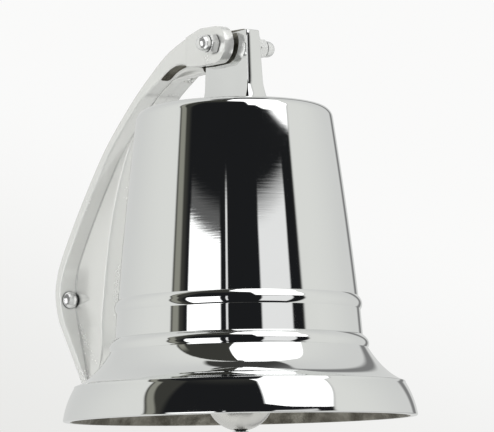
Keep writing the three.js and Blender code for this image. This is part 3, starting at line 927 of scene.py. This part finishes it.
forward = Vector((math.sin(YAW) * math.cos(PITCH), math.cos(YAW) * math.cos(PITCH), math.sin(PITCH)))
right = forward.cross(Vector((0, 0, 1))).normalized()
up = right.cross(forward)
rolled_right = right * math.cos(ROLL) + up * math.sin(ROLL)
rolled_up = up * math.cos(ROLL) - right * math.sin(ROLL)
camera_data = bpy.data.cameras.new("camera")
camera_data.sensor_width = 36.0
camera_data.lens = 193.3
camera_data.shift_x = 0.0216
camera_data.clip_end = 100.0
camera = bpy.data.objects.new("camera", camera_data)
bpy.context.scene.collection.objects.link(camera)
spot = Vector((-math.sin(YAW) * DISTANCE, -REACH - math.cos(YAW) * DISTANCE, MOUTH - BELOW_MOUTH)) * MM
camera.matrix_world = Matrix((
    (rolled_right.x, rolled_up.x, -forward.x, spot.x),
    (rolled_right.y, rolled_up.y, -forward.y, spot.y),
    (rolled_right.z, rolled_up.z, -forward.z, spot.z),
    (0, 0, 0, 1)))
bpy.context.scene.camera = camera

# ---------------------------------------------------------------- studio

world = bpy.data.worlds.new("studio")
bpy.context.scene.world = world
world.use_nodes = True
sky = Nodes(world.node_tree)
direction = sky.add("ShaderNodeTexCoord").outputs["Generated"]
turned_direction = sky.add("ShaderNodeVectorRotate", {"Vector": direction, "Angle": YAW},
                           rotation_type="Z_AXIS").outputs[0]
split = sky.add("ShaderNodeSeparateXYZ", {0: turned_direction})
azimuth = sky.math("DEGREES", sky.math("ARCTAN2", split.outputs[0], sky.math("MULTIPLY", split.outputs[1], -1.0)))
elevation = sky.math("DEGREES", sky.math("ARCSINE", split.outputs[2]))


def past(value, bound, soft):
    """1 where value is above bound, 0 below it, with a soft edge."""
    return sky.ramp(sky.math("SUBTRACT", value, bound), -soft, soft, 0.0, 1.0)


def between(value, bounds, soft):
    return sky.math("MULTIPLY", past(value, bounds[0], soft),
                    sky.math("SUBTRACT", 1.0, past(value, bounds[1], soft)))


def panel(under, level, az, el, soft_az=1.2, soft_el=1.2, tint=(1, 1, 1)):
    """A rectangle of the studio, in degrees seen from the bell: az from the camera's side, el above the horizon."""
    inside = sky.math("MULTIPLY", between(azimuth, az, soft_az), between(elevation, el, soft_el))
    return sky.mix(inside, under, (*[level * t for t in tint], 1))


# A light room, dimmer towards the wall, with a narrow grey strip from floor to ceiling.
away = sky.math("ABSOLUTE", azimuth)
spread = sky.ramp(elevation, 16, 56, 0.0, 17.0)
room = sky.mix(sky.ramp(away, 75, 150, 0, 1), (0.775, 0.78, 0.755, 1), (0.67, 0.675, 0.665, 1))
strip_low = sky.math("SUBTRACT", 150.0, sky.ramp(elevation, 60, 84, 0.0, 62.0))
strip_high = sky.math("ADD", 160.0, sky.ramp(elevation, 60, 76, 0.0, 30.0))
strip_level = sky.mix(sky.ramp(elevation, 56, 78, 0, 1), (0.22, 0.22, 0.22, 1), (0.05, 0.05, 0.048, 1))
strip = between(azimuth, (strip_low, strip_high), 3.0)
room = sky.mix(sky.math("MULTIPLY", strip, past(elevation, -60.0, 2.0)), room, strip_level)

# The dark end behind the camera, with a dim edge on its left.
dark_left = sky.math("SUBTRACT", -66.0, spread)
dark_right = sky.math("ADD", 63.8, spread)
studio = panel(room, 0.045, (dark_left, dark_right), (-60, 100), 1.5, 4.0, (1, 1, 0.88))
edge = (sky.math("SUBTRACT", -64.0, spread), sky.math("SUBTRACT", -57.5, spread))
studio = panel(studio, 0.27, edge, (-30, 60), 1.5, 4.0, (1, 1, 0.86))
studio = panel(studio, 0.012, (-53, dark_right), (-60, 60), 3.0, 8.0, (1, 1.05, 1.15))

# Two tall windows in it, each with a dimmer head, and a thin bright line between them.
studio = panel(studio, 0.12, (-48, -17), (17, 19.4), 1.5, 0.5)
studio = panel(studio, 1.7, (-48.5, -16.5), (-42, 18.0), 1.2, 0.35)
studio = panel(studio, 0.42, (22.5, 52), (17, 19.9), 1.2, 0.5)
studio = panel(studio, 0.86, (22, 52), (-38, 19.0), 1.2, 0.7)
studio = panel(studio, 0.8, (-11.3, -9.4), (-30, 20.3), 0.5, 1.0)

# A white card overhead, its lower edge bent, and a dark corner high on the far left.
card_left = sky.math("SUBTRACT", 17.0, sky.ramp(elevation, 58, 72, 0.0, 34.0))
card_right = sky.math("ADD", dark_right, sky.ramp(elevation, 52, 66, 0.0, 24.0))
card_low = sky.math("MAXIMUM", sky.math("MULTIPLY_ADD", azimuth, -0.26, c=32.6),
                    sky.math("MULTIPLY_ADD", azimuth, -0.095, c=26.9))
studio = panel(studio, 1.6, (card_left, card_right), (card_low, 88), 1.5, 0.18)
far_left = sky.math("SUBTRACT", 1.0, past(azimuth, -92.0, 4.0))
studio = sky.mix(sky.math("MULTIPLY", far_left, past(elevation, 76.0, 1.5)), studio, (0.045, 0.045, 0.042, 1))

# What the camera sees behind the bell is a plain backdrop, a little darker at its lower left.
across = sky.math("MULTIPLY", split.outputs[0], 0.387)
height_in_view = sky.math("ADD", split.outputs[2], across)
backdrop = sky.mix(sky.ramp(height_in_view, -0.03, 0.135, 0, 1), (0.805, 0.805, 0.79, 1), (0.955, 0.955, 0.95, 1))
camera_ray = sky.add("ShaderNodeLightPath").outputs["Is Camera Ray"]
seen = sky.mix(camera_ray, studio, backdrop)
world.node_tree.links.new(seen, world.node_tree.nodes["Background"].inputs["Color"])

# A softbox beside the camera; the chrome doesn't mirror it, it only fills the satin castings.
softbox_data = bpy.data.lights.new("softbox", "AREA")
softbox_data.shape = "SQUARE"
softbox_data.size = 1.2                # metres
softbox_data.energy = 8.5              # watts
softbox = bpy.data.objects.new("softbox", softbox_data)
bpy.context.scene.collection.objects.link(softbox)
softbox.location = Vector((-1.15, -1.25, 0.25))
softbox.rotation_euler = (Vector((0, -0.05, 0.05)) - softbox.location).to_track_quat("-Z", "Y").to_euler()
softbox.visible_glossy = False
softbox.visible_camera = False

scene = bpy.context.scene
scene.view_settings.view_transform = "Standard"
scene.view_settings.look = "None"
